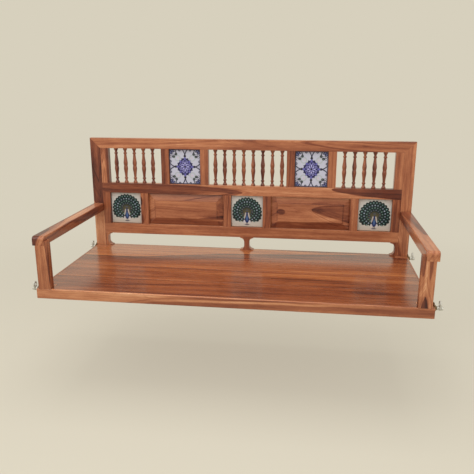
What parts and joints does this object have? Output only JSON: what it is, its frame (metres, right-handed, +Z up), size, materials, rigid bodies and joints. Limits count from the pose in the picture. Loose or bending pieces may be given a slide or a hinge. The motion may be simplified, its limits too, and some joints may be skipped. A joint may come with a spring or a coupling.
{
  "type": "jhoola swing bench",
  "caption": "Wooden jhoola swing bench with a slab seat, low arms and a framed back of tiles, panels and turned balusters, hung by swivelling corner links.",
  "frame": {"origin": "middle of the flat underside of the seat", "axes": "+X to the right as seen from the front, +Y from the front edge to the back rest, +Z up"},
  "size_m": [1.5972, 0.672, 0.575],
  "materials": {
    "sheesham": "polished, semi-gloss",
    "light_sheesham": "polished, semi-gloss",
    "pale_joinery_wood": "bare",
    "backing_board": "bare plywood",
    "blue_glaze": "gloss glaze",
    "cream_glaze": "gloss glaze",
    "dark_metal": "dark antique bronze",
    "hanger_steel": "satin",
    "screw_steel": "yellow zinc"
  },
  "bodies": {
    "bench": {"arm_dowels": "pale_joinery_wood", "arm_left": "sheesham", "arm_post_left": "sheesham", "arm_post_right": "sheesham", "arm_right": "sheesham", "back_bottom_rail": "sheesham", "back_mid_rail": "sheesham", "back_stile_left": "sheesham", "back_stile_right": "sheesham", "back_top_rail": "sheesham", "baluster_row_centre": "sheesham", "baluster_row_left": "sheesham", "baluster_row_right": "sheesham", "blue_tile_left": "blue_glaze", "blue_tile_right": "blue_glaze", "end_bracket_left": "light_sheesham", "end_bracket_right": "light_sheesham", "foot_dowels": "pale_joinery_wood", "hanger_bolts": "hanger_steel", "hanger_nuts": "hanger_steel", "hanger_rosettes": "dark_metal", "hanger_sleeves": "hanger_steel", "hanger_washers": "hanger_steel", "lower_end_muntin_left": "light_sheesham", "lower_end_muntin_right": "light_sheesham", "lower_muntin_1": "sheesham", "lower_muntin_2": "sheesham", "lower_muntin_3": "sheesham", "lower_muntin_4": "sheesham", "lower_tile_boards": "backing_board", "mitre_tongues": "pale_joinery_wood", "peacock_tile_centre": "cream_glaze", "peacock_tile_left": "cream_glaze", "peacock_tile_right": "cream_glaze", "plank_screws": "screw_steel", "raised_panel_left": "sheesham", "raised_panel_right": "sheesham", "seat_back_rail": "sheesham", "seat_batten_centre": "sheesham", "seat_batten_left": "sheesham", "seat_batten_right": "sheesham", "seat_end_rail_left": "sheesham", "seat_end_rail_right": "sheesham", "seat_front_rail": "sheesham", "seat_plank_1": "sheesham", "seat_plank_2": "sheesham", "seat_plank_3": "sheesham", "seat_plank_4": "sheesham", "short_post": "sheesham", "upper_end_muntin_left": "light_sheesham", "upper_end_muntin_right": "light_sheesham", "upper_muntin_1": "sheesham", "upper_muntin_2": "sheesham", "upper_muntin_3": "sheesham", "upper_muntin_4": "sheesham", "upper_tile_boards": "backing_board"},
    "front_left_link": {"hanger_link_front_left": "hanger_steel"},
    "front_right_link": {"hanger_link_front_right": "hanger_steel"},
    "back_left_link": {"hanger_link_back_left": "hanger_steel"},
    "back_right_link": {"hanger_link_back_right": "hanger_steel"}
  },
  "joints": [
    {"name": "front_left_link_turn", "type": "hinge", "parent": "bench", "child": "front_left_link", "pos_m": [-0.7883, -0.299, 0.029], "axis": [1, 0, 0], "continuous": true},
    {"name": "front_right_link_turn", "type": "hinge", "parent": "bench", "child": "front_right_link", "pos_m": [0.7883, -0.299, 0.029], "axis": [1, 0, 0], "continuous": true},
    {"name": "back_left_link_turn", "type": "hinge", "parent": "bench", "child": "back_left_link", "pos_m": [-0.7883, 0.314, 0.029], "axis": [1, 0, 0], "continuous": true},
    {"name": "back_right_link_turn", "type": "hinge", "parent": "bench", "child": "back_right_link", "pos_m": [0.7883, 0.314, 0.029], "axis": [1, 0, 0], "continuous": true}
  ]
}
